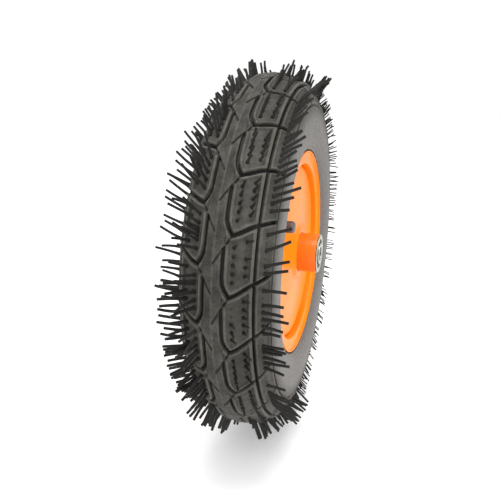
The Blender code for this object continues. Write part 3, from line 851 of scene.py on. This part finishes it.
def make_bearings():
    """On each side the cup, inner ring and dust shield, with rounded edges, and the balls."""
    for side, sign in SIDES:
        cup = [(43.5, 18.15), (54.85, 18.15), (54.85, 21.6), (56.0, 21.6), (56.0, 16.6),
               (52.5, 16.6), (51.1, 17.5), (47.9, 17.5), (46.5, 16.6), (43.5, 16.6)]
        ring = [(43.5, 8.0), (57.0, 8.0), (57.0, 12.0), (52.1, 12.0), (50.9, 11.3),
                (48.1, 11.3), (46.9, 12.0), (43.5, 12.0)]
        shield = [(53.0, 12.5), (53.8, 12.5), (53.8, 16.2), (53.0, 16.2)]
        for label, outline, finish, body, bend in (
            ("bearing_cup", cup, "zinc_plate", "wheel", 0.5),
            ("bearing_inner_ring", ring, "bearing_steel", "hub_core", 0.6),
            ("dust_shield", shield, "zinc_plate", "wheel", 0.25),
        ):
            node = f"{label}_{side}"
            mesh = turned_mesh(node + "_mesh", rounded(mirrored(outline, sign), bend, 3), 96)
            piece(node + "_shown", mesh, finish, body, node)
        for number in range(1, BALLS + 1):
            node = f"ball_{side}_{number}"
            low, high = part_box(node)
            bm = bmesh.new()
            bmesh.ops.create_icosphere(bm, subdivisions=3, radius=BALL_RADIUS * MM)
            bm.transform(Matrix.Translation((low + high) / 2))
            mesh = as_mesh(bm, node + "_mesh")
            piece(node + "_shown", mesh, "bearing_steel", f"ball_set_{side}", node, sharp=80.0)


def make_valve_cap():
    """The domed cap with its fine grip ribs."""
    centre = polar(VALVE_RADIUS, 0, VALVE_ANGLE)
    skin = [(37.2, 0.02), (37.2, 4.15), (27.6, 4.15), (27.6, 5.7), (28.2, 6.15), (36.5, 6.2)]
    skin += [(36.5 + 4.0 * sin(t), 6.2 - 3.2 * (1 - cos(t))) for t in (radians(18 * k) for k in range(1, 5))]
    skin += [(40.45, 1.6), (40.5, 0.02)]
    bm = bmesh.new()
    rings = []
    for i, turn in enumerate(circle(72)):
        ring = []
        for a, r in skin:
            rib = 0.12 if i % 3 == 0 and 28.5 < a < 36.6 and r > 5 else 0.0
            ring.append(bm.verts.new(centre + polar(r - rib, a, turn)))
        rings.append(ring)
    strips_round(bm, rings)
    mesh = as_mesh(bm, "valve_cap_mesh", recalculate=True)
    piece("valve_cap_shown", mesh, "cap_plastic", "valve_cap", "valve_cap")


def make_valve_stem():
    """The rubber-covered stem: through the barrel, round its bend, and out along the axle's direction."""
    corner = VALVE_RADIUS + VALVE_BEND
    path = [(0.0, 94.2), (0.0, 91.5), (0.0, corner)]
    for t in (k * pi / 16 for k in range(1, 9)):
        path.append((VALVE_BEND * (1 - cos(t)), corner - VALVE_BEND * sin(t)))
    path += [(k, VALVE_RADIUS) for k in (12.0, 18.0, 24.0, 26.6)]
    side = Vector((-sin(VALVE_ANGLE), 0, cos(VALVE_ANGLE)))
    turns = circle(32)
    bm = bmesh.new()
    sections = []
    for i, (axial, radial) in enumerate(path):
        along = Vector(path[min(len(path) - 1, i + 1)]) - Vector(path[max(0, i - 1)])
        across = Vector((-along.y, along.x)).normalized()
        lift = polar(across.y, across.x, VALVE_ANGLE) / MM
        centre = polar(radial, axial, VALVE_ANGLE)
        outer = STEM_FOOT if i == 0 else STEM_RADIUS
        loops = []
        for radius in (outer, STEM_BORE):
            points = [centre + (lift * cos(t) + side * sin(t)) * radius * MM for t in turns]
            loops.append([bm.verts.new(p) for p in points])
        sections.append(loops)
    for first, second in zip(sections, sections[1:]):
        strip(bm, first[0], second[0])
        strip(bm, first[1], second[1])
    for end in (sections[0], sections[-1]):
        strip(bm, end[0], end[1])
    mesh = as_mesh(bm, "valve_stem_mesh", recalculate=True)
    piece("valve_stem_shown", mesh, "tube_rubber", "wheel", "valve_stem")


def make_valve_insides():
    """The stem's brass tip, whose thread the cap turns on, and the core and pin inside it."""
    axis = polar(VALVE_RADIUS, 0, VALVE_ANGLE)
    tip = [(26.4, STEM_BORE), (26.4, 3.75)]
    for k in range(THREADS):
        start = THREAD_START + k * THREAD_PITCH
        tip += [(start, THREAD_ROOT), (start + 0.35, THREAD_CREST), (start + 0.45, THREAD_CREST)]
    tip += [(35.7, 3.5), (36.0, 3.2), (36.0, STEM_BORE)]
    mesh = turned_mesh("valve_tip_mesh", tip, 48, axis)
    piece("valve_stem_tip", mesh, "brass", "wheel", "valve_stem", sharp=25.0)
    core = [(22.5, 1.75), (22.5, 2.35), (35.4, 2.35), (35.4, 1.1), (29.5, 1.1), (29.5, 1.75)]
    mesh = turned_mesh("valve_core_mesh", core, 48, axis)
    piece("valve_core_shown", mesh, "brass", "wheel", "valve_core")
    pin = [(19.6, 0.02), (19.6, 1.9), (22.0, 1.9), (22.0, 0.55), (36.1, 0.55), (36.3, 0.35), (36.3, 0.02)]
    mesh = turned_mesh("valve_pin_mesh", pin, 32, axis)
    piece("valve_pin_shown", mesh, "brass", "valve_pin", "valve_pin")


def finish_kept_nodes():
    """The CAD nodes that stay get their full materials."""
    slots = {s["node"]: s["material_slot"] for s in frame["record"]["subparts"]}
    for node, obj in frame["nodes"].items():
        if not obj.hide_render:
            obj.data.materials.clear()
            obj.data.materials.append(MATERIALS[slots[node]])


# ---------------------------------------------------------------- studio


def make_studio():
    """A white floor just under the wheel, an even white surround, and three soft lamps."""
    bm = bmesh.new()
    bmesh.ops.create_grid(bm, x_segments=1, y_segments=1, size=FLOOR_REACH)
    bm.transform(Matrix.Translation((0, 0, CAD_BOX[0][2] - FLOOR_GAP)))
    mesh = as_mesh(bm, "floor")
    floor = bpy.data.objects.new("floor", mesh)
    bpy.context.scene.collection.objects.link(floor)
    white = (0.97, 0.97, 0.97, 1.0)
    look = Look("floor_white", 0.9, Base_Color=white, Emission_Color=white, Emission_Strength=0.12)
    mesh.materials.append(look.material)

    world = bpy.data.worlds.new("studio")
    world.use_nodes = True
    background = world.node_tree.nodes["Background"]
    background.inputs["Color"].default_value = (1.0, 1.0, 1.0, 1.0)
    background.inputs["Strength"].default_value = 1.0
    bpy.context.scene.world = world
    bpy.context.scene.view_settings.view_transform = "Standard"

    for name, place, size, energy in (
        ("key", (0.9, 0.9, 1.5), 1.0, 6.0),
        ("front", (1.6, -0.5, 0.7), 1.0, 0.5),
        ("top", (0.3, 0.1, 1.9), 1.0, 27.0),
    ):
        light = bpy.data.lights.new(name, "AREA")
        light.size = size
        light.energy = energy
        lamp = bpy.data.objects.new(name, light)
        lamp.location = place
        lamp.rotation_euler = (-Vector(place)).to_track_quat("-Z", "Y").to_euler()
        bpy.context.scene.collection.objects.link(lamp)


def make_camera():
    """Looks down a little on the tread, from the valve side."""
    azimuth, elevation = radians(107.28), radians(18.75)
    distance = 0.583
    target = Vector((0.0, -0.0273, -0.0041))
    data = bpy.data.cameras.new("camera")
    data.lens = 35.2
    data.sensor_width = 36.0
    data.clip_start = 0.01
    camera = bpy.data.objects.new("camera", data)
    away = Vector((sin(azimuth) * cos(elevation), -cos(azimuth) * cos(elevation), sin(elevation)))
    camera.location = target + away * distance
    camera.rotation_euler = away.to_track_quat("Z", "Y").to_euler()
    bpy.context.scene.collection.objects.link(camera)
    bpy.context.scene.camera = camera


def main():
    """Builds every piece, the studio and the camera."""
    for side, sign in SIDES:
        piece(f"tyre_cover_{side}", make_tyre_half(side, sign), "tread_rubber", "wheel", "tyre", sharp=45.0)
    piece("tyre_lining", make_lining(), "lining_rubber", "wheel", "tyre")
    make_hairs()
    make_rim()
    make_bearings()
    make_valve_cap()
    make_valve_stem()
    make_valve_insides()
    finish_kept_nodes()
    make_studio()
    make_camera()


main()
